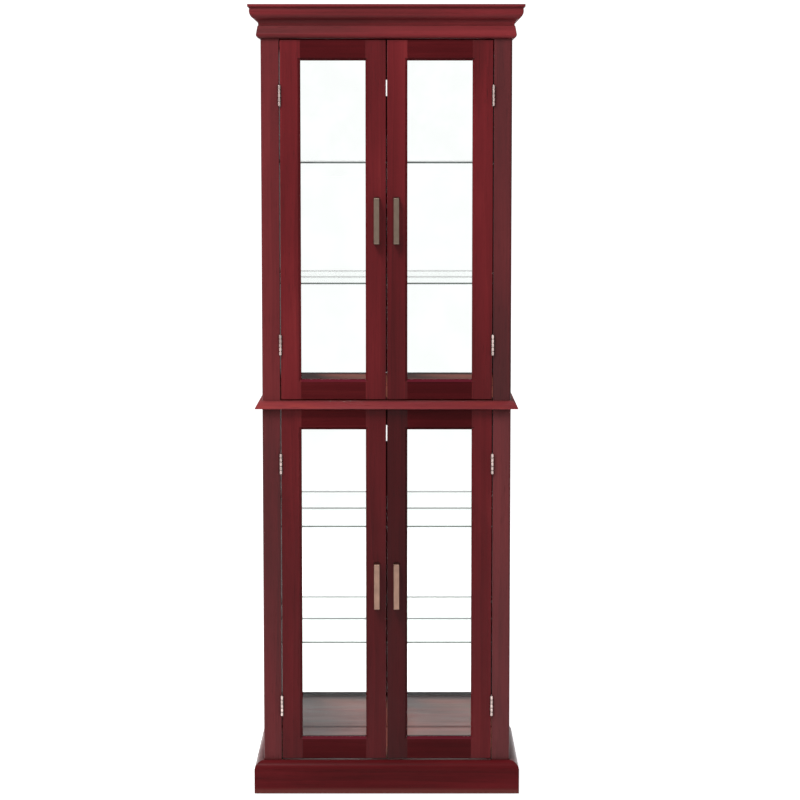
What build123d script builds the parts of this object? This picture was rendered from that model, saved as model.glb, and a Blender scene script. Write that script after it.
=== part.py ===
from build123d import *
import math
import os

"""A tall two-section china cabinet with four glazed doors.

The cabinet stands on z = 0 with its front towards -Y and its back at +Y. The origin is on the floor, at the
centre of the overall outline. A crown moulding runs round the top, a moulded panel divides the two sections, and a
base moulding wraps the foot. Each section has a pair of glazed doors, two glass shelves and a mirror at the back.
All sizes are in millimetres.
"""

# ---- Overall outline -------------------------------------------------------------------------------------------
body_width = 556.0  # over the two side panels
body_depth = 353.0  # from the door faces to the back
lower_opening = 800.0  # clear height between the base moulding and the middle panel
upper_opening = 802.0  # clear height between the middle panel and the top panel
glide_height = 3.0

# ---- Carcass boards --------------------------------------------------------------------------------------------
side_thickness = 15.0
panel_thickness = 18.0  # bottom, middle and top panels
post_width = 40.0
post_round = 6.0  # rounded outer corner of each front post
bottom_lip = 7.0  # how far the base moulding stands above the bottom panel
backboard_thickness = 3.0
backboard_rabbet = 8.0
backboard_foot_gap = 20.0
mirror_thickness = 3.0
mirror_clearance = 0.5

# ---- Mouldings: projection from the body, and height -----------------------------------------------------------
crown_height = 74.0
crown_projection = 27.0
crown_inset = 12.0  # how far the crown reaches in over the posts and sides
base_height = 73.0
base_projection = 21.0
base_round = 20.0
waist_projection = 16.0
waist_land = 1.5  # upright strip at the foot of the waist moulding
waist_bulge = (0.62, 0.57)  # middle of its curve, as shares of projection and rise

# ---- Doors -----------------------------------------------------------------------------------------------------
door_thickness = 20.0
stile_width = 45.0
rail_height = 45.0
lower_bottom_rail = 50.0
hinge_gap = 2.4
meeting_gap = 3.0
door_end_gap = 2.5
glass_rabbet = 9.0
glass_margin = 1.0  # free edge round each pane in its rabbet
glass_thickness = 4.0
frame_lip = 8.0  # wood in front of the pane
sight_chamfer = 5.5  # bevel round the glass
door_edge_round = 1.2
bead_round = 3.0

# ---- Butt hinges -----------------------------------------------------------------------------------------------
hinge_length = 46.0
hinge_from_end = 122.0  # door end to hinge centre
hinge_leaf = 1.0
hinge_leaf_width = 15.0
knuckle_radius = 3.0
knuckle_count = 5
knuckle_gap = 0.4
knuckle_ease = 0.6  # bevel on the ends of each knuckle
hinge_stand_off = 0.35  # knuckle to door face
pin_radius = 1.25
pin_clearance = 0.05
pin_head = 0.8
pin_head_radius = 2.4
hinge_screw_length = 12.0
hinge_screw_radius = 1.1
hinge_screw_head = 2.0
hinge_screw_spread = 26.0
hinge_screw_inset = 9.3  # leaf's front edge to its screws

# ---- Handles ---------------------------------------------------------------------------------------------------
handle_pitch = 96.0
handle_leg = 8.0
handle_width = 12.5
handle_bar = 6.0
handle_projection = 26.0
handle_from_centre = 22.0
handle_bend = 4.0
handle_edge = 1.0
handle_screw_radius = 1.9
handle_screw_head = 3.8
handle_screw_head_height = 2.4
handle_screw_depth = 10.0
handle_screw_end_gap = 1.0
handle_screw_round = 1.4
screw_clearance = 0.1

# ---- Catches and door stops ------------------------------------------------------------------------------------
upper_catch_drop = 87.0  # door top to catch top
lower_catch_drop = 37.0
catch_height = 36.0
catch_width = 24.0
catch_depth = 12.0
catch_round = 1.5
strike_height = 32.0
strike_width = 9.0
strike_thickness = 1.2
strike_inset = 1.0
strike_clearance = 0.4
stop_length = 200.0
stop_width = 34.0
stop_depth = 24.0
stop_clearance = 0.6

# ---- Shelves and their pins ------------------------------------------------------------------------------------
shelf_thickness = 4.0
shelf_set_back = 42.0  # door backs to shelf front
shelf_side_clearance = 2.0
shelf_back_clearance = 1.0
lower_shelf_heights = (266.0, 533.0)  # shelf tops above the section's floor
upper_shelf_heights = (260.5, 531.5)
pin_hole_radius = 2.5
pin_hole_depth = 9.0
pin_hole_pitch = 32.0
pin_hole_steps = (-1, 0, 1)
pin_hole_inset = 40.0  # shelf edge to pin
shelf_pin_fit = 0.05
shelf_pin_end_gap = 0.5
shelf_pin_collar = 4.5
shelf_pin_collar_thickness = 1.5
shelf_pin_pad = 9.0
shelf_pin_pad_thickness = 2.0
shelf_pin_rib = 6.3  # height of the rib under each pad
shelf_pin_rib_thickness = 2.0

# ---- Back screws and glides ------------------------------------------------------------------------------------
back_screw_radius = 1.2
back_screw_head = 2.6
back_screw_head_depth = 1.5
back_screw_length = 14.0
back_screws_per_side = 5
back_screw_end = 45.0
glide_radius = 8.0
glide_from_side = 6.0
glide_inset = 25.0
cross_width = 0.7
cross_length = 2.8
cross_depth = 0.6

# ---- Places worked out from the sizes above --------------------------------------------------------------------
half_body = body_width / 2
y_back = (body_depth + crown_projection) / 2
y_front = y_back - body_depth
y_door_back = y_front + door_thickness
y_board = y_back - backboard_thickness
y_mirror = y_board - mirror_thickness
inner_half = half_body - side_thickness
post_inner = half_body - post_width

z_base_top = glide_height + base_height
z_bottom_panel = z_base_top - bottom_lip
z_middle_low = z_base_top + lower_opening
z_middle_top = z_middle_low + panel_thickness
z_top_low = z_middle_top + upper_opening

door_outer = post_inner - hinge_gap
door_inner = meeting_gap / 2
sight_outer = door_outer - stile_width
sight_inner = door_inner + stile_width
hinge_x = post_inner - hinge_gap / 2
hinge_reach = knuckle_radius + hinge_stand_off
hinge_y = y_front - hinge_reach
shelf_front = y_door_back + shelf_set_back
shelf_back = y_mirror - shelf_back_clearance

sections = {
    "lower": {
        "low": z_base_top,
        "high": z_middle_low,
        "floor": z_bottom_panel,
        "bottom_rail": lower_bottom_rail,
        "shelves": lower_shelf_heights,
        "catch_drop": lower_catch_drop,
    },
    "upper": {
        "low": z_middle_top,
        "high": z_top_low,
        "floor": z_middle_top,
        "bottom_rail": rail_height,
        "shelves": upper_shelf_heights,
        "catch_drop": upper_catch_drop,
    },
}


# ---- Helpers ---------------------------------------------------------------------------------------------------
def block(x, y, z):
    """A box from three (low, high) pairs."""
    size = [high - low for low, high in (x, y, z)]
    centre = [(high + low) / 2 for low, high in (x, y, z)]
    return Pos(*centre) * Box(*size)


def rod(radius, start, end, axis, end_radius=None):
    """A round bar or cone with its first end at the point start, running along +X, +Y or +Z to end's coordinate."""
    turn = {"x": (0, 90, 0), "y": (-90, 0, 0), "z": (0, 0, 0)}[axis]
    length = end - start["xyz".index(axis)]
    base_align = (Align.CENTER, Align.CENTER, Align.MIN)
    if end_radius is None:
        bar = Cylinder(radius, length, align=base_align)
    else:
        bar = Cone(radius, end_radius, length, align=base_align)
    return Pos(*start) * Rot(*turn) * bar


def flip(shape):
    """The same piece on the other side of the cabinet."""
    return mirror(shape, about=Plane.YZ)


def prism(points, low, high):
    """An upright prism from (x, y) points."""
    outline = make_face(Polyline(*points, close=True))
    return Pos(0, 0, low) * extrude(outline, high - low, dir=(0, 0, 1))


def one(shape):
    """The single solid of a shape, so that a split piece is noticed at once."""
    found = shape.solids()
    if len(found) != 1:
        raise ValueError(f"expected one solid and got {len(found)}")
    return found[0]


def save(node, *pieces):
    """Writes the pieces of one node as separate solids."""
    solids = [solid for piece in pieces for solid in piece.solids()]
    export_step(Compound(children=solids), f"parts/{node}.step")


# ---- Moulding profiles, as (projection, height) outlines -------------------------------------------------------
def crown_profile():
    """Crown section from the bottom up: sloped nose, small step, cove, ovolo, quirk and square top fillet."""
    nose = [(0, 0), (0.30, 0.06), (0.32, 0.16), (0.27, 0.27), (0.21, 0.38)]
    upper = [(0.16, 0.38), (0.24, 0.50), (0.50, 0.575), (0.77, 0.67), (0.845, 0.87), (0.88, 0.91), (1, 0.925)]
    nose, upper = [
        [(across * crown_projection, up * crown_height) for across, up in shares] for shares in (nose, upper)
    ]
    curve = [
        ThreePointArc(*run[start : start + 3])
        for run in (nose, upper)
        for start in range(0, len(run) - 1, 2)
    ]
    step = Line(nose[-1], upper[0])
    back = Polyline(
        upper[-1],
        (crown_projection, crown_height),
        (-crown_inset, crown_height),
        (-crown_inset, 0),
        nose[0],
    )
    return curve + [step, back]


def base_profile():
    """Base section: an upright board with a rounded top edge."""
    side = base_projection
    round_foot = (side, base_height - base_round)
    round_top = (side - base_round, base_height)
    corner = base_round * (1 - math.sqrt(0.5))
    middle = (side - corner, base_height - corner)
    board = Polyline(round_top, (0, base_height), (0, 0), (side, 0), round_foot)
    return [board, ThreePointArc(round_foot, middle, round_top)]


def waist_profile():
    """Nosing of the middle panel: a shallow ovolo that widens towards its lower edge."""
    foot = (waist_projection, waist_land)
    rise = panel_thickness - waist_land
    middle = (waist_projection * waist_bulge[0], waist_land + rise * waist_bulge[1])
    top = (0, panel_thickness)
    return [Polyline(top, (0, 0), (waist_projection, 0), foot), ThreePointArc(foot, middle, top)]


def front_moulding(profile, reach, inset, z_low, height):
    """A profile run across the front, mitred at both ends."""
    wire = Wire([edge for curve in profile for edge in curve.edges()])
    across = Plane(origin=(0, y_front, z_low), x_dir=(0, -1, 0), z_dir=(-1, 0, 0))
    face = across * make_face(wire)
    run = extrude(face, half_body + reach, both=True)
    corners = [
        (-half_body - reach, y_front - reach),
        (half_body + reach, y_front - reach),
        (half_body - inset, y_front + inset),
        (-half_body + inset, y_front + inset),
    ]
    return one(run & prism(corners, z_low, z_low + height))


def side_moulding(profile, reach, inset, z_low, height):
    """The same profile run back along the right side, mitred at the front."""
    wire = Wire([edge for curve in profile for edge in curve.edges()])
    along = Plane(origin=(half_body, 0, z_low), x_dir=(1, 0, 0), z_dir=(0, -1, 0))
    face = along * make_face(wire)
    run = extrude(face, body_depth + 2 * reach, both=True)
    corners = [
        (half_body + reach, y_front - reach),
        (half_body + reach, y_back),
        (half_body - inset, y_back),
        (half_body - inset, y_front + inset),
    ]
    return one(run & prism(corners, z_low, z_low + height))


# ---- Carcass ---------------------------------------------------------------------------------------------------
def post(z_low, z_high):
    """Right-hand front post, rounded on its outer corner."""
    piece = block((post_inner, half_body), (y_front, y_door_back), (z_low, z_high))
    corner = piece.edges().filter_by(Axis.Z).sort_by(lambda e: e.center().X - e.center().Y)[-1]
    return fillet(corner, post_round)


def shelf_pin_places(section):
    """(y, z) of each pin that holds a shelf, z being the underside of the glass."""
    for height in section["shelves"]:
        z = section["floor"] + height - shelf_thickness
        for y in (shelf_front + pin_hole_inset, shelf_back - pin_hole_inset):
            yield y, z


def pin_centre(z_glass):
    """Height of a pin's shaft under the glass."""
    return z_glass - shelf_pin_pad_thickness - pin_hole_radius


def side_panel(section, z_low, z_high):
    """Right-hand side panel with its back rabbet and its rows of shelf pin holes."""
    panel = block((inner_half, half_body), (y_door_back, y_back), (z_low, z_high))
    rabbet = block((inner_half, inner_half + backboard_rabbet), (y_board, y_back), (z_low, z_high))
    panel -= rabbet
    for y, z in shelf_pin_places(section):
        for step in pin_hole_steps:
            start = (inner_half, y, pin_centre(z) + step * pin_hole_pitch)
            panel -= rod(pin_hole_radius, start, inner_half + pin_hole_depth, "x")
    return panel


def bottom_panel():
    """Floor of the lower section, with a tongue that reaches forward between the posts."""
    z = (z_bottom_panel - panel_thickness, z_bottom_panel)
    main = block((-inner_half, inner_half), (y_door_back, y_board), z)
    tongue = block((-post_inner, post_inner), (y_front, y_door_back), z)
    return main + tongue


def middle_panel():
    """Divider between the sections, with a moulded nosing on its front and sides."""
    core = block((-half_body, half_body), (y_front, y_back), (z_middle_low, z_middle_top))
    front = front_moulding(waist_profile(), waist_projection, 0, z_middle_low, panel_thickness)
    right = side_moulding(waist_profile(), waist_projection, 0, z_middle_low, panel_thickness)
    return one((core + front + right + flip(right)).clean())


def top_panel():
    """Ceiling of the upper section, inside the crown."""
    half = half_body - crown_inset
    z = (z_top_low, z_top_low + panel_thickness)
    return block((-half, half), (y_front + crown_inset, y_back), z)


def back_screw_places(z_low, z_high):
    """(x, z) of the screws along both edges of a back board."""
    x = inner_half + backboard_rabbet / 2
    span = z_high - z_low - 2 * back_screw_end
    for index in range(back_screws_per_side):
        z = z_low + back_screw_end + span * index / (back_screws_per_side - 1)
        yield from ((x, z), (-x, z))


def cross_recess(x, y, z):
    """Cross-shaped recess for a screwdriver, in a head whose outer face is at this point and looks along Y."""
    level = Box(cross_length, 2 * cross_depth, cross_width)
    upright = Box(cross_width, 2 * cross_depth, cross_length)
    return Pos(x, y, z) * (level + upright)


def back_screw(x, z):
    """Countersunk screw through the back board into the side panel, with its head flush."""
    y_neck = y_back - back_screw_head_depth
    shank = rod(back_screw_radius, (x, y_back - back_screw_length, z), y_neck, "y")
    head = rod(back_screw_radius, (x, y_neck, z), y_back, "y", back_screw_head)
    return shank, head


def back_board(z_low, z_high):
    """Hardboard back in the side panels' rabbets."""
    half = inner_half + backboard_rabbet
    board = block((-half, half), (y_board, y_back), (z_low, z_high))
    for x, z in back_screw_places(z_low, z_high):
        shank, head = back_screw(x, z)
        board -= shank + head
    return board


def drill_back_screws(panel, z_low, z_high, side):
    """Cuts the screw holes of one back board into a side panel."""
    for x, z in back_screw_places(z_low, z_high):
        if x * side > 0:
            panel -= back_screw(x, z)[0]
    return panel


def mirror_pane(z_low, z_high):
    """Mirror glass in front of a back board."""
    half = inner_half - mirror_clearance
    z = (z_low, z_high - mirror_clearance)
    return block((-half, half), (y_mirror, y_board), z)


# ---- Shelves ---------------------------------------------------------------------------------------------------
def glass_shelf(z_top):
    """A plain glass shelf."""
    half = inner_half - shelf_side_clearance
    return block((-half, half), (shelf_front, shelf_back), (z_top - shelf_thickness, z_top))


def shelf_pin(y, z):
    """Right-hand shelf pin: shaft in the side panel, collar, and a flat pad under the glass."""
    z_pin = pin_centre(z)
    shaft_end = inner_half + pin_hole_depth - shelf_pin_end_gap
    shaft = rod(pin_hole_radius - shelf_pin_fit, (inner_half, y, z_pin), shaft_end, "x")
    collar_start = inner_half - shelf_pin_collar_thickness
    collar = rod(shelf_pin_collar, (collar_start, y, z_pin), inner_half, "x")
    pad_x = (inner_half - shelf_pin_pad, inner_half)
    pad_y = (y - shelf_pin_collar, y + shelf_pin_collar)
    pad = block(pad_x, pad_y, (z - shelf_pin_pad_thickness, z))
    rib_points = [(inner_half, 0), (pad_x[0], 0), (inner_half, -shelf_pin_rib)]
    rib_face = Plane.XZ * make_face(Polyline(*rib_points, close=True))
    rib = extrude(rib_face, shelf_pin_rib_thickness / 2, both=True)
    rib = Pos(0, y, z - shelf_pin_pad_thickness) * rib
    above_glass = block((collar_start, inner_half), pad_y, (z, z + 2 * shelf_pin_collar))
    return one(shaft + collar + pad + rib - above_glass)


# ---- Door stops and catches ------------------------------------------------------------------------------------
def catch_range(section):
    """Lowest and highest point of a section's catch."""
    top = section["high"] - door_end_gap - section["catch_drop"]
    return top - catch_height, top


def door_stop(section):
    """Block behind the meeting stiles, notched for the catch."""
    y_face = y_door_back + stop_clearance
    z = (section["high"] - stop_length, section["high"])
    piece = block((-stop_width / 2, stop_width / 2), (y_face, y_face + stop_depth), z)
    y_notch = y_door_back + strike_thickness + strike_clearance + catch_depth
    notch = block((-stop_width, stop_width), (y_face, y_notch), catch_range(section))
    return one(piece - notch)


def magnetic_catch(section):
    """Catch body in its notch."""
    y_face = y_door_back + strike_thickness + strike_clearance
    half = catch_width / 2
    piece = block((-half, half), (y_face, y_face + catch_depth), catch_range(section))
    face_edges = piece.faces().sort_by(Axis.Y)[0].edges().filter_by(Axis.Z)
    return one(fillet(face_edges, catch_round))


# ---- Hinges, built round the axis of a right-hand door ---------------------------------------------------------
def hinge_leaf_solid(z_centre, toward, knuckles):
    """One leaf with its share of the knuckles. toward is +1 for the post's leaf and -1 for the door's."""
    inner = hinge_gap / 2 - hinge_leaf
    x = sorted(hinge_x + toward * offset for offset in (inner, hinge_gap / 2))
    z_low = z_centre - hinge_length / 2
    plate = block(x, (y_front, y_front + hinge_leaf_width), (z_low, z_low + hinge_length))
    length = (hinge_length - (knuckle_count - 1) * knuckle_gap) / knuckle_count
    for index in knuckles:
        z = z_low + index * (length + knuckle_gap)
        knuckle = rod(knuckle_radius, (hinge_x, hinge_y, z), z + length, "z")
        plate += chamfer(knuckle.edges().filter_by(GeomType.CIRCLE), knuckle_ease)
        plate += block(x, (hinge_y, y_front), (z + knuckle_ease, z + length - knuckle_ease))
    bore = rod(pin_radius + pin_clearance, (hinge_x, hinge_y, z_low), z_low + hinge_length, "z")
    plate -= bore
    for z in hinge_screw_heights(z_centre):
        plate -= hinge_screw(z, toward, whole=True)
    return one(plate)


def hinge_screw_heights(z_centre):
    """Heights of the two screws in each leaf."""
    return (z_centre - hinge_screw_spread / 2, z_centre + hinge_screw_spread / 2)


def hinge_screw(z, toward, whole=True):
    """Countersunk hinge screw, flush with its leaf, driven into the post (+1) or the door (-1)."""
    y = y_front + hinge_screw_inset
    face = hinge_gap / 2 - hinge_leaf
    neck = hinge_gap / 2
    end = hinge_gap / 2 + hinge_screw_length
    head = rod(hinge_screw_head, (face, 0, 0), neck, "x", hinge_screw_radius)
    shank = rod(hinge_screw_radius, (neck, 0, 0), end, "x")
    piece = head + shank if whole else shank
    if toward < 0:
        piece = flip(piece)
    return Pos(hinge_x, y, z) * piece


def hinge_pin(z_centre):
    """Hinge pin with a small head at each end."""
    z_low = z_centre - hinge_length / 2
    z_high = z_centre + hinge_length / 2
    shaft = rod(pin_radius, (hinge_x, hinge_y, z_low), z_high, "z")
    lower = rod(pin_radius, (hinge_x, hinge_y, z_low - pin_head), z_low, "z", pin_head_radius)
    upper = rod(pin_head_radius, (hinge_x, hinge_y, z_high), z_high + pin_head, "z", pin_radius)
    return one(shaft + lower + upper)


def hinge_heights(section):
    """Heights of the two hinges of a door."""
    low = section["low"] + door_end_gap + hinge_from_end
    high = section["high"] - door_end_gap - hinge_from_end
    return low, high


# ---- Doors, built as the right-hand door of a section ----------------------------------------------------------
def door_span(section):
    """Lowest and highest point of the door and of its glass opening."""
    low = section["low"] + door_end_gap
    high = section["high"] - door_end_gap
    return low, high, low + section["bottom_rail"], high - rail_height


def pane_pocket(section, margin, y):
    """A box over the glass opening, larger by margin on each side."""
    _, _, z_low, z_high = door_span(section)
    x = (sight_inner - margin, sight_outer + margin)
    return block(x, y, (z_low - margin, z_high + margin))


def sight_bevel(section):
    """The tapered cut that bevels the front edge of the glass opening."""
    _, _, z_low, z_high = door_span(section)
    width = sight_outer - sight_inner
    height = z_high - z_low
    centre = ((sight_outer + sight_inner) / 2, (z_low + z_high) / 2)
    front = Plane(origin=(centre[0], y_front, centre[1]), x_dir=(1, 0, 0), z_dir=(0, 1, 0))
    wide = front * Rectangle(width + 2 * sight_chamfer, height + 2 * sight_chamfer)
    narrow = front.offset(sight_chamfer) * Rectangle(width, height)
    return loft([wide, narrow])


def ease_stile(piece, toward_glass):
    """Rounds a stile's front edges, but for the one by the glass. toward_glass is +1 or -1 along X."""
    edges = piece.faces().sort_by(Axis.Y)[0].edges()
    by_place = sorted(edges, key=lambda edge: toward_glass * edge.center().X)
    return fillet(by_place[:-1], door_edge_round)


def ease_rail(piece, outward):
    """Rounds the front edge on a rail's outer side, outward being +1 for the top rail and -1 for the bottom."""
    edges = piece.faces().sort_by(Axis.Y)[0].edges()
    outer = sorted(edges, key=lambda edge: outward * edge.center().Z)[-1]
    return fillet(outer, door_edge_round)


def door_stiles(section):
    """Hinge stile and meeting stile, drilled for hinge and handle screws."""
    z_low, z_high, _, _ = door_span(section)
    y = (y_front, y_door_back)
    hinge_stile = block((sight_outer, door_outer), y, (z_low, z_high))
    hinge_stile = ease_stile(hinge_stile, -1)
    meeting_stile = block((door_inner, sight_inner), y, (z_low, z_high))
    meeting_stile = ease_stile(meeting_stile, 1)
    pocket = pane_pocket(section, glass_rabbet, (y_front + frame_lip, y_door_back))
    bevel = sight_bevel(section)
    for z_centre in hinge_heights(section):
        for z in hinge_screw_heights(z_centre):
            hinge_stile -= hinge_screw(z, -1, whole=False)
    for z in handle_screw_heights(section):
        start = (handle_from_centre, y_front, z)
        meeting_stile -= rod(handle_screw_radius + screw_clearance, start, y_door_back, "y")
    return [one(stile - pocket - bevel) for stile in (hinge_stile, meeting_stile)]


def door_rails(section):
    """Top and bottom rail between the stiles."""
    z_low, z_high, sight_low, sight_high = door_span(section)
    x = (sight_inner, sight_outer)
    y = (y_front, y_door_back)
    pocket = pane_pocket(section, glass_rabbet, (y_front + frame_lip, y_door_back))
    bevel = sight_bevel(section)
    top = ease_rail(block(x, y, (sight_high, z_high)), 1)
    bottom = ease_rail(block(x, y, (z_low, sight_low)), -1)
    return [one(rail - pocket - bevel) for rail in (top, bottom)]


def door_glass(section):
    """Pane in the rabbets of the door frame."""
    y = y_front + frame_lip
    return pane_pocket(section, glass_rabbet - glass_margin, (y, y + glass_thickness))


def glazing_beads(section):
    """Four mitred strips that hold the pane from behind."""
    y_low = y_front + frame_lip + glass_thickness
    _, _, z_low, z_high = door_span(section)
    ring = pane_pocket(section, glass_rabbet, (y_low, y_door_back))
    ring -= pane_pocket(section, 0, (y_low, y_door_back))
    back = ring.faces().sort_by(Axis.Y)[-1]
    ring = fillet(back.inner_wires()[0].edges(), bead_round)
    x = (sight_inner - glass_rabbet, sight_outer + glass_rabbet)
    z = (z_low - glass_rabbet, z_high + glass_rabbet)
    reach = (x[1] - x[0]) / 2
    middle = (x[0] + x[1]) / 2
    corners = {
        "top": [(x[0], z[1]), (middle, z[1] - reach), (x[1], z[1])],
        "bottom": [(x[0], z[0]), (middle, z[0] + reach), (x[1], z[0])],
        "left": [(x[0], z[0]), (middle, z[0] + reach), (middle, z[1] - reach), (x[0], z[1])],
        "right": [(x[1], z[0]), (middle, z[0] + reach), (middle, z[1] - reach), (x[1], z[1])],
    }
    strips = []
    for points in corners.values():
        face = Plane.XZ * make_face(Polyline(*points, close=True))
        wedge = Pos(0, y_door_back, 0) * extrude(face, door_thickness, dir=(0, -1, 0))
        strips.append(one(ring & wedge))
    return strips


def handle_screw_heights(section):
    """Heights of the handle's two screws, about the middle of the door."""
    z_low, z_high, _, _ = door_span(section)
    middle = (z_low + z_high) / 2
    return middle - handle_pitch / 2, middle + handle_pitch / 2


def door_handle(section):
    """Square bar handle with two legs, bent from flat bar."""
    z_low, z_high = handle_screw_heights(section)
    half_leg = handle_leg / 2
    y_outer = y_front - handle_projection
    z = (z_low - half_leg, z_high + half_leg)
    x = (handle_from_centre - handle_width / 2, handle_from_centre + handle_width / 2)
    outer = block(x, (y_outer, y_front), z)
    bends = outer.faces().sort_by(Axis.Y)[0].edges().filter_by(Axis.X)
    outer = fillet(bends, handle_bend)
    gap = block(x, (y_outer + handle_bar, y_front), (z_low + half_leg, z_high - half_leg))
    inner_bends = gap.faces().sort_by(Axis.Y)[0].edges().filter_by(Axis.X)
    piece = outer - fillet(inner_bends, handle_bend / 2)
    long_edges = piece.faces().sort_by(Axis.Y)[0].edges().filter_by(Axis.Z)
    piece = fillet(long_edges, handle_edge)
    for z_screw in (z_low, z_high):
        start = (handle_from_centre, y_front - handle_screw_depth, z_screw)
        piece -= rod(handle_screw_radius + screw_clearance / 2, start, y_front, "y")
    return one(piece)


def handle_screw(z):
    """Pan-head machine screw from the back of the stile into a handle leg."""
    x = handle_from_centre
    shank_start = (x, y_front - handle_screw_depth + handle_screw_end_gap, z)
    shank = rod(handle_screw_radius, shank_start, y_door_back, "y")
    y_top = y_door_back + handle_screw_head_height
    head = rod(handle_screw_head, (x, y_door_back, z), y_top, "y")
    rim = head.faces().sort_by(Axis.Y)[-1].edges()
    head = fillet(rim, handle_screw_round)
    return one(shank + head - cross_recess(x, y_top, z))


def strike_plate(section):
    """Steel strike on the back of the meeting stile, facing the catch."""
    z_catch = catch_range(section)
    middle = sum(z_catch) / 2
    x = (door_inner + strike_inset, door_inner + strike_inset + strike_width)
    z = (middle - strike_height / 2, middle + strike_height / 2)
    return block(x, (y_door_back, y_door_back + strike_thickness), z)


def door_fasteners(section):
    """Hinge screws, handle screws and strike plate of one door."""
    pieces = []
    for z_centre in hinge_heights(section):
        pieces += [hinge_screw(z, -1) for z in hinge_screw_heights(z_centre)]
    pieces += [handle_screw(z) for z in handle_screw_heights(section)]
    return pieces + [strike_plate(section)]


# ---- Putting the cabinet together ------------------------------------------------------------------------------
def write_mouldings():
    """Base and crown, each as a front piece and two sides."""
    base = (base_profile(), base_projection, 0, glide_height, base_height)
    crown = (crown_profile(), crown_projection, crown_inset, z_top_low, crown_height)
    for name, sizes in (("base", base), ("crown", crown)):
        right = side_moulding(*sizes)
        save(f"{name}_front", front_moulding(*sizes))
        save(f"{name}_right", right)
        save(f"{name}_left", flip(right))


def write_section_carcass(name, section):
    """Posts, sides, back board, mirror and shelves of one section."""
    z_low = glide_height if name == "lower" else section["low"]
    board_low = z_low + backboard_foot_gap if name == "lower" else z_low
    z_high = section["high"]
    right_post = post(z_low, z_high)
    for z_centre in hinge_heights(section):
        for z in hinge_screw_heights(z_centre):
            right_post -= hinge_screw(z, 1, whole=False)
    save(f"{name}_post_right", right_post)
    save(f"{name}_post_left", flip(right_post))
    right_side = drill_back_screws(side_panel(section, z_low, z_high), board_low, z_high, 1)
    save(f"{name}_side_right", right_side)
    save(f"{name}_side_left", flip(right_side))
    save(f"{name}_back_board", back_board(board_low, z_high))
    save(f"{name}_mirror", mirror_pane(section["floor"], z_high))
    for place, height in zip(("low", "high"), section["shelves"]):
        save(f"{name}_shelf_{place}", glass_shelf(section["floor"] + height))
    screws = []
    for x, z in back_screw_places(board_low, z_high):
        shank, head = back_screw(x, z)
        screws.append(shank + head - cross_recess(x, y_back, z))
    return screws


def write_small_parts(back_screws):
    """Pins, catches, stops, glides and the cabinet's half of the hinges."""
    right_pins = [shelf_pin(y, z) for s in sections.values() for y, z in shelf_pin_places(s)]
    save("shelf_pins", *right_pins, *map(flip, right_pins))
    save("door_stops", *map(door_stop, sections.values()))
    save("magnetic_catches", *map(magnetic_catch, sections.values()))
    centres = [z for s in sections.values() for z in hinge_heights(s)]
    leaves = [hinge_leaf_solid(z, 1, range(0, knuckle_count, 2)) for z in centres]
    save("cabinet_hinge_leaves", *leaves, *map(flip, leaves))
    pins = [hinge_pin(z) for z in centres]
    save("hinge_pins", *pins, *map(flip, pins))
    screws = [hinge_screw(z, 1) for c in centres for z in hinge_screw_heights(c)]
    save("cabinet_screws", *screws, *map(flip, screws), *back_screws)
    x = half_body - glide_from_side
    corners = [(x, y_front + glide_inset / 2), (x, y_back - glide_inset)]
    glides = [rod(glide_radius, (gx, gy, 0), glide_height, "z") for gx, gy in corners]
    save("floor_glides", *glides, *map(flip, glides))


def write_door(name, section):
    """Both doors of a section, one node for each kind of piece."""
    leaves = [hinge_leaf_solid(z, -1, range(1, knuckle_count, 2)) for z in hinge_heights(section)]
    pieces = {
        "stiles": door_stiles(section),
        "rails": door_rails(section),
        "glass": [door_glass(section)],
        "beads": glazing_beads(section),
        "handle": [door_handle(section)],
        "hinge_leaves": leaves,
        "fasteners": door_fasteners(section),
    }
    for kind, right in pieces.items():
        save(f"{name}_right_door_{kind}", *right)
        save(f"{name}_left_door_{kind}", *map(flip, right))


def main():
    """Writes every node to parts/."""
    os.makedirs("parts", exist_ok=True)
    write_mouldings()
    save("bottom_panel", bottom_panel())
    save("middle_panel", middle_panel())
    save("top_panel", top_panel())
    back_screws = []
    for name, section in sections.items():
        back_screws += write_section_carcass(name, section)
        write_door(name, section)
    write_small_parts(back_screws)


main()
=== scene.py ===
import math

import bmesh
import bpy
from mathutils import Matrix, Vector


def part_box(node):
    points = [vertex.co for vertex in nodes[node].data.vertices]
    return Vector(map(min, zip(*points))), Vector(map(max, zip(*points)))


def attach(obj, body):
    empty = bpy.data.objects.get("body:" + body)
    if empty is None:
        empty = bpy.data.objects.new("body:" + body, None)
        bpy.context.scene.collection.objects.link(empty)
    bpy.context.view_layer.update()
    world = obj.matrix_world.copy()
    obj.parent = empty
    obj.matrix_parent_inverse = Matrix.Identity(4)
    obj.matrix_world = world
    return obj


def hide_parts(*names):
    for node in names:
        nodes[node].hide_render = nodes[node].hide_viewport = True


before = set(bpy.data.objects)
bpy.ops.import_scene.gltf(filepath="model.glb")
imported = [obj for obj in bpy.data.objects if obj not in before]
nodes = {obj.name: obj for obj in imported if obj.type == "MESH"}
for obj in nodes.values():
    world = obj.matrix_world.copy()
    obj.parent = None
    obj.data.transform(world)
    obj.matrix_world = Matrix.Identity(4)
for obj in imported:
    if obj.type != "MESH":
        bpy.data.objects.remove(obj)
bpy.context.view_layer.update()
SECTIONS = ("lower", "upper")
SIDES = ("left", "right")
DOORS = [f"{section}_{side}_door" for section in SECTIONS for side in SIDES]


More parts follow.
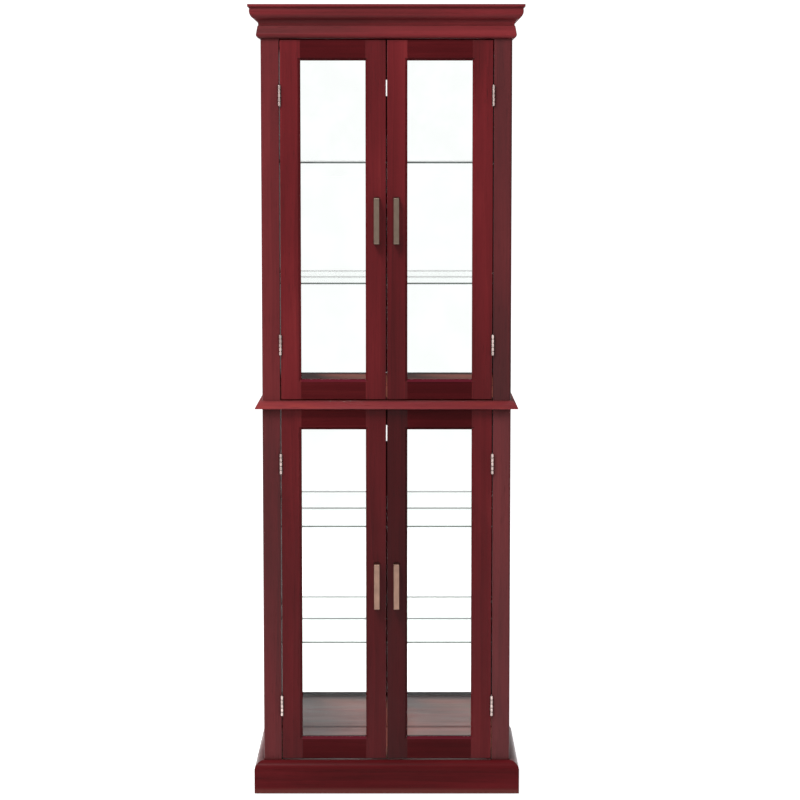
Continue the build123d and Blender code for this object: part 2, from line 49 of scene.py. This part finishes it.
# ---- Material graphs -----------------------------------------------------------------------------
class Graph:
    """One material's node tree. Each method adds a node and returns its output."""

    def __init__(self, name):
        self.material = bpy.data.materials.new(name)
        self.material.use_nodes = True
        self.tree = self.material.node_tree
        self.shader = self.tree.nodes["Principled BSDF"]
        self.output = self.tree.nodes["Material Output"]
        self.place = self.add("TexCoord").outputs["Object"]

    def add(self, kind, **settings):
        node = self.tree.nodes.new("ShaderNode" + kind)
        for key, value in settings.items():
            setattr(node, key, value)
        return node

    def feed(self, socket, value):
        if isinstance(value, bpy.types.NodeSocket):
            self.tree.links.new(value, socket)
        else:
            socket.default_value = value

    def maths(self, operation, first, second=0.0, clamp=False):
        node = self.add("Math", operation=operation, use_clamp=clamp)
        self.feed(node.inputs[0], first)
        self.feed(node.inputs[1], second)
        return node.outputs[0]

    def vector(self, operation, first, second):
        node = self.add("VectorMath", operation=operation)
        self.feed(node.inputs[0], first)
        self.feed(node.inputs[1], second)
        return node.outputs["Value" if operation == "DOT_PRODUCT" else "Vector"]

    def part(self, vector, index):
        """One part of a vector: 0 for X, 1 for Y and 2 for Z."""
        node = self.add("SeparateXYZ")
        self.feed(node.inputs[0], vector)
        return node.outputs[index]

    def noise(self, place, scale, detail=2.0, rough=0.5, warp=0.0):
        node = self.add("TexNoise")
        self.feed(node.inputs["Vector"], place)
        self.feed(node.inputs["Scale"], scale)
        self.feed(node.inputs["Detail"], detail)
        self.feed(node.inputs["Roughness"], rough)
        self.feed(node.inputs["Distortion"], warp)
        return node.outputs["Fac"]

    def span(self, value, low, high, to_low=0.0, to_high=1.0):
        """Value from low to high, spread smoothly from to_low to to_high."""
        node = self.add("MapRange", interpolation_type="SMOOTHSTEP")
        for socket, part in zip(node.inputs, (value, low, high, to_low, to_high)):
            self.feed(socket, part)
        return node.outputs[0]

    def ramp(self, value, stops):
        node = self.add("ValToRGB")
        elements = node.color_ramp.elements
        while len(elements) < len(stops):
            elements.new(0.5)
        for element, (position, colour) in zip(elements, stops):
            element.position = position
            element.color = (*colour, 1)
        self.feed(node.inputs[0], value)
        return node.outputs[0]

    def mix(self, share, first, second):
        node = self.add("Mix", data_type="RGBA", blend_type="MIX")
        self.feed(node.inputs[0], share)
        for socket, colour in zip(node.inputs[6:8], (first, second)):
            self.feed(socket, (*colour, 1) if isinstance(colour, tuple) else colour)
        return node.outputs[2]

    def bump(self, height, distance, strength=1.0, normal=None):
        node = self.add("Bump")
        self.feed(node.inputs["Height"], height)
        self.feed(node.inputs["Distance"], distance)
        self.feed(node.inputs["Strength"], strength)
        if normal is not None:
            self.feed(node.inputs["Normal"], normal)
        return node.outputs[0]

    def edge_normal(self, radius):
        """Normal that turns softly over every sharp edge."""
        node = self.add("Bevel", samples=4)
        self.feed(node.inputs["Radius"], radius)
        return node.outputs[0]

    def edge_mask(self, normal):
        """1 at an edge and 0 on a flat face."""
        flat = self.add("NewGeometry").outputs["True Normal"]
        turn = self.vector("DOT_PRODUCT", normal, flat)
        return self.span(turn, 0.995, 0.86)

    def set(self, **values):
        """Sets the shader's sockets by name, with underscores for spaces."""
        for name, value in values.items():
            socket = self.shader.inputs[name.replace("_", " ")]
            if isinstance(value, tuple) and len(value) == 3 and socket.type == "RGBA":
                value = (*value, 1)
            self.feed(socket, value)
        return self.material


def along_grain(graph, axis, seed, stretch):
    """Coordinates with the grain along their third axis, drawn out so that patterns run with it."""
    shift = (seed * 0.37, seed * 0.61 + 0.2, seed * 1.73)
    moved = graph.vector("ADD", graph.place, shift)
    split = graph.add("SeparateXYZ")
    graph.feed(split.inputs[0], moved)
    order = {"X": (2, 1, 0), "Y": (0, 2, 1), "Z": (0, 1, 2)}[axis]
    join = graph.add("CombineXYZ")
    for target, source in enumerate(order):
        part = split.outputs[source]
        graph.feed(join.inputs[target], graph.maths("MULTIPLY", part, stretch) if target == 2 else part)
    return join.outputs[0]


# ---- Wood ----------------------------------------------------------------------------------------
EDGE_RADIUS = 0.0009
PAINTED_SHADE_SPAN = 0.65  # from the openness with most painted shade to the one with none
STAIN = ((0.12, (0.078, 0.0060, 0.0075)), (0.42, (0.134, 0.0098, 0.0130)),
         (0.64, (0.172, 0.0132, 0.0172)), (0.92, (0.240, 0.0240, 0.0270)))


def stain_stops(tone, pale):
    """The stain's ramp, scaled by tone and lifted by pale, a painted sheen, which is one number or one for
    each channel.
    """
    painted_sheen = pale if isinstance(pale, tuple) else (pale,) * 3
    return tuple((place, tuple(c * tone + up for c, up in zip(colour, painted_sheen))) for place, colour in STAIN)


def growth_rings(g, grain):
    """Rings cut lengthwise, so that they run as wavering bands along the board."""
    rings = g.add("TexWave", wave_type="RINGS", rings_direction="Z", wave_profile="SAW")
    for key, value in (("Vector", grain), ("Scale", 17.0), ("Distortion", 5.5), ("Detail", 3.0),
                       ("Detail Scale", 1.1), ("Detail Roughness", 0.6)):
        g.feed(rings.inputs[key], value)
    return rings.outputs["Fac"]


def lighten_foot(g, colour, blotch, top):
    """Makes a ragged band along the foot lighter, up to a height."""
    height = g.maths("ADD", g.part(g.place, 2), g.maths("MULTIPLY", blotch, 0.012))
    return g.mix(g.span(height, top + 0.006, top - 0.008, 0.0, 0.55), colour, (0.26, 0.085, 0.072))


def paint_ledge_light(g, colour, share):
    """Painted light: makes the faces that slope upward lighter."""
    slope = g.part(g.add("NewGeometry").outputs["True Normal"], 2)
    return g.mix(g.span(slope, 0.3, 0.6, 0.0, share), colour, (0.14, 0.012, 0.027))


def cherry(name, axis, seed, tone=1.0, pale=0.0, gloss=0.10, reach=0.022, open_from=0.95,
           lighter_foot=0.0, ledge_light=0.0):
    """Cherry-stained wood under satin lacquer, with blotches, rings, fibre streaks, pores and worn edges.

    tone sets the stain, partly with painted light and shade, pale lifts it with a painted sheen, and gloss is
    the lacquer's strength. Painted shade darkens the wood up to reach from a corner, and fades out at the
    openness open_from. scuffed is the height of a lighter band along the foot, and ledge is the strength of
    the painted light on the upward slopes."""
    g = Graph(name)
    slow = along_grain(g, axis, seed, 0.22)
    grain = along_grain(g, axis, seed, 0.045)
    fine = along_grain(g, axis, seed, 0.022)
    blotch = g.noise(slow, 7.0, 3.0, 0.55, 0.4)
    wander = g.noise(grain, 9.0, 2.0)
    rings = growth_rings(g, grain)
    streak = g.noise(fine, 190.0, 4.0, 0.65, 0.3)
    fibre = g.noise(fine, 620.0, 2.0, 0.6)
    pores = g.span(g.noise(fine, 1250.0, 1.0, 0.4), 0.66, 0.76)
    tone_map = g.maths("MULTIPLY", g.span(blotch, 0.28, 0.72), 0.48)
    for part, share in ((g.span(wander, 0.3, 0.7), 0.20), (rings, 0.14),
                        (g.span(streak, 0.3, 0.7), 0.12), (g.span(fibre, 0.3, 0.7), 0.06)):
        tone_map = g.maths("ADD", tone_map, g.maths("MULTIPLY", part, share))
    colour = g.ramp(tone_map, stain_stops(tone, pale))
    colour = g.mix(g.maths("MULTIPLY", pores, 0.55), colour, (0.016 * tone, 0.003, 0.003))
    soft_edge = g.edge_normal(EDGE_RADIUS)
    worn = g.maths("MULTIPLY", g.edge_mask(soft_edge), g.span(g.noise(slow, 60.0, 3.0), 0.42, 0.7))
    colour = g.mix(g.maths("MULTIPLY", worn, 0.35), colour, (0.23 * tone, 0.048, 0.036))
    if lighter_foot:
        colour = lighten_foot(g, colour, blotch, lighter_foot)
    if ledge_light:
        colour = paint_ledge_light(g, colour, ledge_light)
    # Painted shade: occlusion darkens the colour in corners, gaps and hollows, and roughens the lacquer
    # there.
    occlusion = g.add("AmbientOcclusion", samples=6)
    g.feed(occlusion.inputs["Distance"], reach)
    unshaded = g.span(occlusion.outputs["AO"], open_from - PAINTED_SHADE_SPAN, open_from, 0.22, 1.0)
    painted_shade = g.maths("SUBTRACT", 1.0, unshaded)
    colour = g.mix(painted_shade, colour, (0.010, 0.003, 0.002))
    sheen = g.span(g.noise(slow, 26.0, 3.0, 0.6), 0.3, 0.7, 0.30, 0.40)
    rough = g.maths("ADD", sheen, g.maths("MULTIPLY", pores, 0.2))
    rough = g.maths("ADD", rough, g.maths("MULTIPLY", painted_shade, 0.75), clamp=True)
    height = g.maths("SUBTRACT", g.maths("MULTIPLY", streak, 0.5), pores)
    normal = g.bump(height, 0.00006, 0.5, soft_edge)
    return g.set(Base_Color=colour, Roughness=rough, Normal=normal, Specular_IOR_Level=gloss,
                 Coat_Weight=gloss * 0.3, Coat_Roughness=0.18)


def hardboard(name):
    """Pressed brown hardboard: matted fibres and flecks."""
    g = Graph(name)
    matted = g.noise(g.place, 420.0, 5.0, 0.7, 1.2)
    cloud = g.noise(g.place, 9.0, 3.0)
    flecks = g.span(g.noise(g.place, 900.0, 2.0), 0.62, 0.74)
    colour = g.ramp(g.maths("ADD", g.maths("MULTIPLY", matted, 0.65), g.maths("MULTIPLY", cloud, 0.35)),
                    ((0.3, (0.105, 0.058, 0.032)), (0.55, (0.20, 0.12, 0.068)), (0.8, (0.30, 0.19, 0.11))))
    colour = g.mix(g.maths("MULTIPLY", flecks, 0.5), colour, (0.42, 0.29, 0.18))
    rough = g.span(matted, 0.3, 0.7, 0.62, 0.82)
    normal = g.bump(matted, 0.00015, 0.4)
    return g.set(Base_Color=colour, Roughness=rough, Normal=normal, Specular_IOR_Level=0.3)


# ---- Metal ---------------------------------------------------------------------------------------
RUBBED_AND_HIGHLIGHT_SHARE = 0.45
EDGE_SHADE_SHARE = 0.85


def metal(name, colour, rough, axis="Z", dark=0.6, stretch=0.02, marks=0.3, edge=1.5, edge_size=0.0005):
    """Plated metal with brush lines along one axis and slow tarnish.

    Its edges are rubbed bright, partly a painted highlight, where edge is over 1, and dark with painted shade
    where it is under."""
    g = Graph(name)
    lines = g.noise(along_grain(g, axis, 1.0, stretch), 2600.0, 3.0, 0.7)
    tarnish = g.noise(g.place, 70.0, 4.0, 0.6)
    shade = g.maths("ADD", g.maths("MULTIPLY", g.span(lines, 0.3, 0.7), marks),
                    g.maths("MULTIPLY", g.span(tarnish, 0.3, 0.7), 1 - marks))
    deep = tuple(c * dark for c in colour)
    pale = tuple(min(1.0, c * 1.18) for c in colour)
    tint = g.ramp(shade, ((0.1, deep), (0.9, pale)))
    soft_edge = g.edge_normal(edge_size)
    share = g.maths("MULTIPLY", g.edge_mask(soft_edge), RUBBED_AND_HIGHLIGHT_SHARE if edge > 1 else EDGE_SHADE_SHARE)
    tint = g.mix(share, tint, tuple(min(1.0, c * edge) for c in colour))
    roughness = g.span(shade, 0.2, 0.8, rough + 0.08, rough - 0.05)
    return g.set(Base_Color=tint, Metallic=1.0, Roughness=roughness,
                 Normal=g.bump(lines, 0.00003, 0.35, soft_edge))


# ---- Glass and plastic ---------------------------------------------------------------------------
GLASS_IOR = 1.5
GLASS_SHINE = 0.8
CATCH_PLATE_HALF_WIDTH = 0.003


def clear_glass(name, tint):
    """Thin float glass with faint smears: tinted and clear face on, with reflections at a glancing angle."""
    g = Graph(name)
    smear = g.span(g.noise(g.place, 14.0, 4.0, 0.6), 0.4, 0.8, 0.0, 0.03)
    g.set(Base_Color=(0.96, 0.97, 0.97), Metallic=1.0, Roughness=g.maths("ADD", smear, 0.005))
    through = g.add("BsdfTransparent")
    g.feed(through.inputs[0], (*tint, 1))
    fresnel = g.add("Fresnel")
    g.feed(fresnel.inputs[0], GLASS_IOR)
    front = g.maths("SUBTRACT", 1.0, g.add("NewGeometry").outputs["Backfacing"])
    share = g.maths("MULTIPLY", g.maths("MULTIPLY", fresnel.outputs[0], GLASS_SHINE), front, clamp=True)
    both = g.add("MixShader")
    g.feed(both.inputs[0], share)
    g.feed(both.inputs[1], through.outputs[0])
    g.feed(both.inputs[2], g.shader.outputs[0])
    g.feed(g.output.inputs[0], both.outputs[0])
    return g.material


def glass_edge(name, colour, share):
    """The ground edge of a glass shelf: greenish grey and darkened with painted shade in the place of
    refraction, and opaque by its share.
    """
    g = Graph(name)
    ground = g.noise(g.place, 900.0, 3.0)
    tint = g.mix(ground, tuple(c * 0.8 for c in colour), tuple(c * 1.2 for c in colour))
    g.set(Base_Color=tint, Roughness=g.span(ground, 0.3, 0.7, 0.18, 0.3), Normal=g.bump(ground, 0.00004, 0.3))
    through = g.add("BsdfTransparent")
    g.feed(through.inputs[0], (0.85, 0.93, 0.9, 1))
    both = g.add("MixShader")
    g.feed(both.inputs[0], share)
    g.feed(both.inputs[1], through.outputs[0])
    g.feed(both.inputs[2], g.shader.outputs[0])
    g.feed(g.output.inputs[0], both.outputs[0])
    return g.material


def mirror_glass(name):
    """Silvered glass, very slightly wavy, with a light haze in patches."""
    g = Graph(name)
    wave = g.noise(g.place, 4.0, 1.0)
    haze = g.span(g.noise(g.place, 11.0, 4.0, 0.6), 0.35, 0.75, 0.0, 1.0)
    colour = g.mix(haze, (0.79, 0.80, 0.795), (0.84, 0.85, 0.845))
    rough = g.maths("ADD", 0.015, g.maths("MULTIPLY", haze, 0.02))
    return g.set(Base_Color=colour, Metallic=1.0, Roughness=rough, Normal=g.bump(wave, 0.0003, 0.2))


def plastic(name, colour, rough, pole=0.0):
    """Moulded plastic with a fine grain and a little unevenness.

    With pole, a polished steel plate of that half width shows down the middle of the piece."""
    g = Graph(name)
    grain = g.noise(g.place, 1800.0, 3.0, 0.6)
    cloud = g.noise(g.place, 60.0, 3.0)
    tint = g.mix(g.span(cloud, 0.3, 0.7), tuple(c * 0.86 for c in colour), colour)
    roughness = g.span(grain, 0.3, 0.7, rough - 0.05, rough + 0.08)
    if pole:
        plate = g.maths("LESS_THAN", g.maths("ABSOLUTE", g.part(g.place, 0)), pole)
        tint = g.mix(plate, tint, (0.93, 0.92, 0.90))
        roughness = g.maths("MULTIPLY", roughness, g.maths("SUBTRACT", 1.0, g.maths("MULTIPLY", plate, 0.75)))
        g.set(Metallic=plate)
    normal = g.bump(grain, 0.00002, 0.3, g.edge_normal(0.0005))
    return g.set(Base_Color=tint, Roughness=roughness, Normal=normal)


# ---- Giving every CAD node its material ----------------------------------------------------------
def dress(node, material):
    """Puts a material on all of a CAD node."""
    piece = nodes[node]
    if not piece.material_slots:
        piece.data.materials.append(material)
    for place in piece.material_slots:
        place.link = "OBJECT"
        place.material = material


GRAIN_X = ["base_front", "crown_front", "top_panel"]
GRAIN_X += [f"{door}_rails" for door in DOORS]
GRAIN_Y = [f"{part}_{side}" for part in ("base", "crown") for side in SIDES]
GRAIN_Z = [f"{s}_{part}_{side}" for s in SECTIONS for part in ("post", "side") for side in SIDES]
GRAIN_Z += [f"{door}_beads" for door in DOORS] + ["door_stops"]
# Each kind of board's tone, partly its stain and partly painted light and shade, and its paleness, a painted
# sheen: the first part of a name that fits counts.
BOARD_LOOK = (
    ("upper_left_door_rails", 0.37, 0.0), ("upper_right_door_rails", 0.37, 0.0),
    ("lower_left_door_rails", 0.42, 0.0), ("lower_right_door_rails", 0.40, 0.0),
    ("upper_left_door_meeting", 0.64, 0.0), ("upper_right_door_meeting", 0.67, 0.0),
    ("upper_left_door", 0.73, 0.0), ("upper_right_door", 0.71, 0.0),
    ("lower_left_door_meeting", 0.54, 0.0), ("lower_right_door_meeting", 0.31, 0.0),
    ("lower_left_door", 0.60, 0.0), ("lower_right_door", 0.61, 0.0),
    ("upper_post_left", 0.61, 0.006), ("upper_post_right", 0.50, 0.010),
    ("lower_post_left", 0.66, 0.010), ("lower_post_right", 0.60, 0.016),
    ("base", 0.75, 0.0), ("crown", 0.98, 0.004), ("", 0.85, 0.0),
)


def board_look(name):
    """Tone of a board, partly painted light and shade, and its paleness, a painted sheen."""
    return next((tone, pale) for part, tone, pale in BOARD_LOOK if part in name)


def finish_of(node):
    """Where the lacquer, painted shade, painted light on upward slopes and lighter foot band of a board
    differ from the usual.
    """
    if node.endswith("rails"):
        # Rails: a narrow painted shade, and painted light on the upward slopes.
        return {"gloss": 0.04, "reach": 0.004, "ledge_light": 0.5}
    if node.startswith("crown"):
        # Crown: a wide, strong painted shade, most of it in the cove.
        return {"reach": 0.05, "open_from": 1.08}
    if node.startswith("base"):
        return {"gloss": 0.05 if node == "base_front" else 0.28, "lighter_foot": 0.018}
    return {"gloss": 0.0} if node == "top_panel" else {}


def dress_wood():
    """Each board has its own stretch of grain and its own tone."""
    boards = [(n, "X") for n in GRAIN_X] + [(n, "Y") for n in GRAIN_Y] + [(n, "Z") for n in GRAIN_Z]
    for index, (node, axis) in enumerate(boards):
        tone, pale = board_look(node)
        seed = 1.0 + index * 0.83
        dress(node, cherry(f"cherry_{node}", axis, seed, tone, pale, **finish_of(node)))


def dress_hardware():
    """Metal, glass, mirror, plastic and hardboard nodes."""
    # The lower handles' nickel is lighter and warmer than the upper's: painted light on the same metal.
    nickel = {"upper": metal("brushed_nickel", (0.145, 0.106, 0.081), 0.33, "Z", 0.84, marks=0.6),
              "lower": metal("brushed_nickel_painted_light", (0.245, 0.150, 0.113), 0.33, "Z", 0.84, marks=0.6)}
    steel = metal("hinge_steel", (0.56, 0.44, 0.41), 0.24, "Z", 0.7, edge=0.12, edge_size=0.0009)
    zinc = metal("zinc_screw", (0.60, 0.58, 0.54), 0.34, "X", 0.6)
    pane = clear_glass("door_glass", (0.985, 0.993, 0.99))
    for door in DOORS:
        dress(f"{door}_glass", pane)
        dress(f"{door}_handle", nickel[door[:5]])
        dress(f"{door}_hinge_leaves", steel)
        dress(f"{door}_fasteners", zinc)
    dress("cabinet_hinge_leaves", steel)
    dress("hinge_pins", steel)
    dress("cabinet_screws", zinc)
    dress("shelf_pins", metal("pin_nickel", (0.62, 0.60, 0.57), 0.28, "X", 0.7))
    dress("magnetic_catches", plastic("white_plastic", (0.90, 0.89, 0.87), 0.36, CATCH_PLATE_HALF_WIDTH))
    dress("floor_glides", plastic("black_plastic", (0.03, 0.03, 0.032), 0.5))
    board = hardboard("hardboard")
    silver = mirror_glass("mirror_glass")
    for section in SECTIONS:
        dress(f"{section}_back_board", board)
        dress(f"{section}_mirror", silver)


# ---- Glass shelves with polished edges -----------------------------------------------------------
ARRIS = 0.0007
LEVEL = 0.9  # a face whose normal has at least this much Z, up or down, lies level


def polished_shelf(node, clear, edge):
    """A pane with ground and polished arrises in the place of a shelf node."""
    low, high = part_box(node)
    mesh = bmesh.new()
    bmesh.ops.create_cube(mesh, size=1.0)
    size, centre = high - low, (high + low) / 2
    for vertex in mesh.verts:
        vertex.co = Vector(c * s for c, s in zip(vertex.co, size)) + centre
    bmesh.ops.bevel(mesh, geom=mesh.edges[:], offset=ARRIS, segments=2, profile=0.5, affect="EDGES")
    for face in mesh.faces:
        face.material_index = 0 if abs(face.normal.z) > LEVEL else 1
    data = bpy.data.meshes.new(f"{node}_glass")
    mesh.to_mesh(data)
    mesh.free()
    piece = bpy.data.objects.new(f"{node}_glass", data)
    bpy.context.scene.collection.objects.link(piece)
    data.materials.append(clear)
    data.materials.append(edge)
    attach(piece, "cabinet")
    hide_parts(node)


def make_shelves():
    """The four glass shelves."""
    glass = clear_glass("shelf_glass", (0.955, 0.975, 0.965))
    # The upper shelves' edges are darker than the lower ones': painted shade on the same glass.
    edges = {"upper": glass_edge("upper_shelf_edge", (0.05, 0.065, 0.06), 0.92),
             "lower": glass_edge("lower_shelf_edge", (0.12, 0.14, 0.13), 0.9)}
    for section in SECTIONS:
        for place in ("low", "high"):
            polished_shelf(f"{section}_shelf_{place}", glass, edges[section])


# ---- Boards that carry two finishes or move to their own pieces ----------------------------------
def copied(node):
    """A bmesh of a CAD node where it stands, with its vertices joined up."""
    mesh = bmesh.new()
    mesh.from_mesh(nodes[node].data)
    mesh.transform(nodes[node].matrix_world)
    bmesh.ops.remove_doubles(mesh, verts=mesh.verts, dist=1e-6)
    return mesh


def put_in_place(mesh, name, body, node, materials):
    """Makes a wooden piece of a bmesh in the place of a CAD node."""
    data = bpy.data.meshes.new(name)
    mesh.to_mesh(data)
    mesh.free()
    for material in materials:
        data.materials.append(material)
    piece = bpy.data.objects.new(name, data)
    bpy.context.scene.collection.objects.link(piece)
    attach(piece, body)
    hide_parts(node)
    return piece


def islands(mesh):
    """Groups of connected vertices."""
    left = set(mesh.verts)
    groups = []
    while left:
        reach = [left.pop()]
        group = set(reach)
        while reach:
            for edge in reach.pop().link_edges:
                for vertex in edge.verts:
                    if vertex in left:
                        left.discard(vertex)
                        group.add(vertex)
                        reach.append(vertex)
        groups.append(group)
    return groups


def stile(door, role, wanted, seed):
    """One stile of a door as its own board, with its own grain.

    wanted is 0 for the inner stile and 1 for the outer one."""
    mesh = copied(f"{door}_stiles")
    boards = sorted(islands(mesh), key=lambda group: abs(sum(v.co.x for v in group) / len(group)))
    bmesh.ops.delete(mesh, geom=list(boards[1 - wanted]), context="VERTS")
    tone, pale = board_look(f"{door}_{role}")
    wood = cherry(f"cherry_{door}_{role}", "Z", seed, tone, pale, reach=0.004)
    return put_in_place(mesh, f"{door}_{role}", door, f"{door}_stiles", [wood])


def make_stiles():
    """Hinge and meeting stiles. Of a door's wood and glass, only the meeting stile shows in reflections."""
    for index, door in enumerate(DOORS):
        stile(door, "meeting_stile", 0, 41.4 + index * 2.7)
        outer = stile(door, "hinge_stile", 1, 40.0 + index * 2.7)
        outer.visible_glossy = False
        for part in ("rails", "beads", "glass", "handle"):
            nodes[f"{door}_{part}"].visible_glossy = False


# Tone of the stain outside, partly painted light and shade, its paleness, a painted sheen, and the lacquer's
# strength inside.
PANELS = (("bottom_panel", 0.7, 0.0, 0.08), ("middle_panel", 1.35, 0.016, 0.0))
# The faces within the cabinet are made lighter and greyer: painted light and a painted reflection of the
# mirror.
INSIDE_LIT_TONE = 2.4
INSIDE_PAINTED_SHEEN = (0.04, 0.08, 0.045)
INSIDE_MARGIN = 0.002  # behind the posts' front faces


def make_panels():
    """Bottom and middle panels: stained like the front outside, and on the faces within the cabinet paler
    with painted light and a painted reflection.
    """
    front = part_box("lower_post_left")[0].y
    for index, (node, tone, pale, inside_gloss) in enumerate(PANELS):
        mesh = copied(node)
        for face in mesh.faces:
            behind = face.calc_center_median().y > front + INSIDE_MARGIN
            face.material_index = 1 if behind and abs(face.normal.z) > LEVEL else 0
        outside = cherry(f"cherry_{node}", "X", 60.0 + index, tone, pale)
        inside = cherry(f"cherry_{node}_inside", "X", 63.0 + index, INSIDE_LIT_TONE, INSIDE_PAINTED_SHEEN, inside_gloss)
        put_in_place(mesh, f"{node}_board", "cabinet", node, [outside, inside])


# ---- Camera, floor and light ---------------------------------------------------------------------
BACKDROP = 1.15
REFLECTED_CARD = 1.25
REFLECTED_STUDIO = 0.50
AMBIENT = 0.30
VIEW_DISTANCE = 5.46  # from the eye to the posts' front faces
EYE_HEIGHT = 1.455
EYE_RIGHT = 0.030
TILT = 5.48  # degrees down from level
LENS = 110.5
VERTICAL_SHIFT = -0.02
FLOOR_REACH = 120.0
PAINTED_SHADOW_RADII = (0.20, 0.55)  # the floor's glow starts to grow at the first, and is full at the second; nearer in, its dimmer glow is a painted contact shadow
# the floor's glow near the cabinet: a painted contact shadow
SHADOWED_GLOW = 0.80
CARD_RIM = (0.86, 0.95)  # how squarely a reflection faces forward where the card fades in


def make_camera():
    """A long lens in front of the cabinet at eye height, tipped down a little."""
    data = bpy.data.cameras.new("camera")
    data.sensor_width = 36.0
    data.lens = LENS
    data.shift_y = VERTICAL_SHIFT
    data.clip_end = 400.0
    camera = bpy.data.objects.new("camera", data)
    bpy.context.scene.collection.objects.link(camera)
    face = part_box("lower_post_left")[0].y
    camera.location = (EYE_RIGHT, face - VIEW_DISTANCE, EYE_HEIGHT)
    camera.rotation_euler = (math.radians(90 - TILT), 0, 0)
    bpy.context.scene.camera = camera


def math_node(tree, operation, first, second):
    """A Math node's output for sockets or numbers."""
    node = tree.nodes.new("ShaderNodeMath")
    node.operation = operation
    for socket, value in zip(node.inputs, (first, second)):
        if isinstance(value, bpy.types.NodeSocket):
            tree.links.new(value, socket)
        else:
            socket.default_value = value
    return node.outputs[0]


def seen_directly(path, tree):
    """1 for a ray from the camera or through glass, and 0 for light that scatters."""
    return math_node(tree, "MAXIMUM", path.outputs["Is Camera Ray"], path.outputs["Is Transmission Ray"])


def make_world():
    """White surroundings. Reflections see a white card in front of the cabinet, and grey elsewhere."""
    world = bpy.data.worlds.new("studio")
    bpy.context.scene.world = world
    world.use_nodes = True
    tree = world.node_tree
    background = tree.nodes["Background"]
    background.inputs["Color"].default_value = (1.0, 1.0, 1.0, 1)
    path = tree.nodes.new("ShaderNodeLightPath")
    split = tree.nodes.new("ShaderNodeSeparateXYZ")
    tree.links.new(tree.nodes.new("ShaderNodeTexCoord").outputs["Generated"], split.inputs[0])
    forward = math_node(tree, "MULTIPLY", split.outputs["Y"], -1.0)
    card = tree.nodes.new("ShaderNodeMapRange")
    card.interpolation_type = "SMOOTHSTEP"
    for socket, value in zip(card.inputs[1:], (*CARD_RIM, REFLECTED_STUDIO, REFLECTED_CARD)):
        socket.default_value = value
    tree.links.new(forward, card.inputs[0])
    glossy = math_node(tree, "MULTIPLY", path.outputs["Is Glossy Ray"], card.outputs[0])
    direct = math_node(tree, "MULTIPLY", seen_directly(path, tree), BACKDROP)
    shown = math_node(tree, "MAXIMUM", glossy, direct)
    tree.links.new(math_node(tree, "MAXIMUM", shown, AMBIENT), background.inputs["Strength"])


def make_floor():
    """A pale, seamless floor that glows, less near the cabinet as a painted contact shadow, and fades to
    white away from it.
    """
    mesh = bpy.data.meshes.new("floor")
    corners = [(x * FLOOR_REACH, y * FLOOR_REACH, 0) for x, y in ((-1, -1), (1, -1), (1, 1), (-1, 1))]
    mesh.from_pydata(corners, [], [(0, 1, 2, 3)])
    floor = bpy.data.objects.new("floor", mesh)
    bpy.context.scene.collection.objects.link(floor)
    g = Graph("floor")
    cloud = g.noise(g.place, 0.8, 3.0)
    colour = g.mix(cloud, (0.80, 0.80, 0.80), (0.84, 0.84, 0.84))
    g.set(Base_Color=colour, Roughness=0.9, Specular_IOR_Level=0.1)
    length = g.add("VectorMath", operation="LENGTH")
    g.feed(length.inputs[0], g.place)
    # Painted contact shadow: the floor glows less near the cabinet.
    glow_past_shadow = g.span(length.outputs["Value"], *PAINTED_SHADOW_RADII, SHADOWED_GLOW, 1.0)
    path = g.add("LightPath")
    seen = g.maths("MAXIMUM", seen_directly(path, g.tree), path.outputs["Is Glossy Ray"])
    g.feed(g.shader.inputs["Emission Color"], (1, 1, 1, 1))
    g.feed(g.shader.inputs["Emission Strength"], g.maths("MULTIPLY", glow_past_shadow, seen))
    mesh.materials.append(g.material)


def soft_light(name, place, aim, size, power, reflected=True):
    """A square soft box, which may be left out of reflections."""
    data = bpy.data.lights.new(name, "AREA")
    data.shape = "SQUARE"
    data.size = size
    data.energy = power
    light = bpy.data.objects.new(name, data)
    bpy.context.scene.collection.objects.link(light)
    light.location = place
    light.rotation_euler = (Vector(aim) - Vector(place)).to_track_quat("-Z", "Y").to_euler()
    light.visible_camera = False
    light.visible_glossy = reflected


def make_lights():
    """A high soft box in front and to the left, and a weaker one on each side that nothing mirrors."""
    soft_light("key", (-1.1, -2.0, 3.6), (0, 0, 1.2), 1.4, 112)
    soft_light("left_fill", (-2.6, -1.6, 1.6), (0, 0, 1.1), 1.4, 17, reflected=False)
    soft_light("right_fill", (2.6, -1.6, 1.5), (0, 0, 1.1), 1.4, 12, reflected=False)


dress_wood()
dress_hardware()
make_shelves()
make_stiles()
make_panels()
make_camera()
make_world()
make_floor()
make_lights()
bpy.context.scene.view_settings.view_transform = "Standard"
